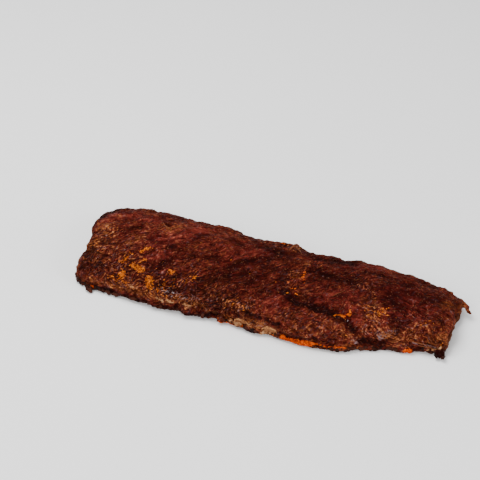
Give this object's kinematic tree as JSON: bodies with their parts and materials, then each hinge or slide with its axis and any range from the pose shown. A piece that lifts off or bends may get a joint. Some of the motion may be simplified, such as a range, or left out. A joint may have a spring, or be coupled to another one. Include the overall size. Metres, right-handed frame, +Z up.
{
  "type": "smoked rack of pork ribs",
  "caption": "Long flat rack of smoked pork ribs with a dark cracked bark, lying bone side down, its flat rib bones ending at both long edges.",
  "frame": {"origin": "under the middle of the rack's box, on the surface that it lies on", "axes": "+X along the rack from its broad end to its narrow end, +Y from the front sawn edge to the back edge, +Z up"},
  "size_m": [0.3522, 0.1216, 0.0285],
  "materials": {
    "bark": "dark glossy smoked crust",
    "bone": "dull sawn bone"
  },
  "bodies": {
    "root": {"rack_meat": "bark", "rib_bone_01": "bone", "rib_bone_02": "bone", "rib_bone_03": "bone", "rib_bone_04": "bone", "rib_bone_05": "bone", "rib_bone_06": "bone", "rib_bone_07": "bone", "rib_bone_08": "bone", "rib_bone_09": "bone", "rib_bone_10": "bone", "rib_bone_11": "bone", "rib_bone_12": "bone", "rib_bone_13": "bone"}
  },
  "joints": []
}
